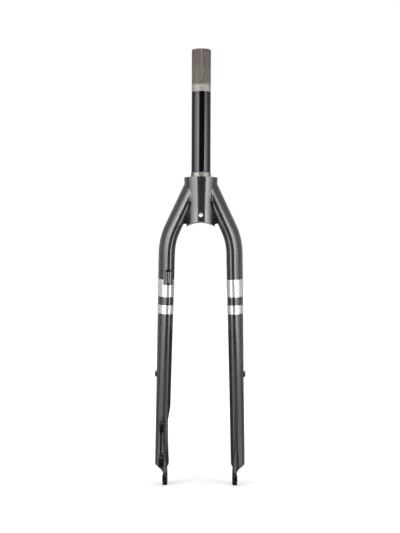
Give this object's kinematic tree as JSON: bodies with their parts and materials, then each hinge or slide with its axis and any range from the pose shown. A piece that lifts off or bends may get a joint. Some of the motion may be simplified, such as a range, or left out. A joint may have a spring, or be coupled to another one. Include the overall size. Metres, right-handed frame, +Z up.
{
  "type": "rigid bicycle fork",
  "caption": "Rigid steel bicycle fork with a threaded steerer, flared crown, bent oval blades, open dropouts and a disc brake tab behind the left blade.",
  "frame": {"origin": "where the steering axis meets the crown race plane, at the foot of the crown race seat", "axes": "+Z up the steering axis, +Y the way the bicycle rides, +X the rider's right along the front axle"},
  "size_m": [0.1368, 0.0892, 0.6575],
  "materials": {
    "charcoal_paint": "gloss metallic",
    "black_paint": "gloss",
    "silver_film": "reflective"
  },
  "bodies": {
    "root": {"steerer_tube": "black_paint", "crown": "charcoal_paint", "left_blade": "charcoal_paint", "right_blade": "charcoal_paint", "left_dropout": "charcoal_paint", "right_dropout": "charcoal_paint", "disc_brake_tab": "charcoal_paint", "hose_guide": "charcoal_paint", "left_rack_boss": "charcoal_paint", "right_rack_boss": "charcoal_paint", "left_upper_band": "silver_film", "left_lower_band": "silver_film", "right_upper_band": "silver_film", "right_lower_band": "silver_film"}
  },
  "joints": []
}
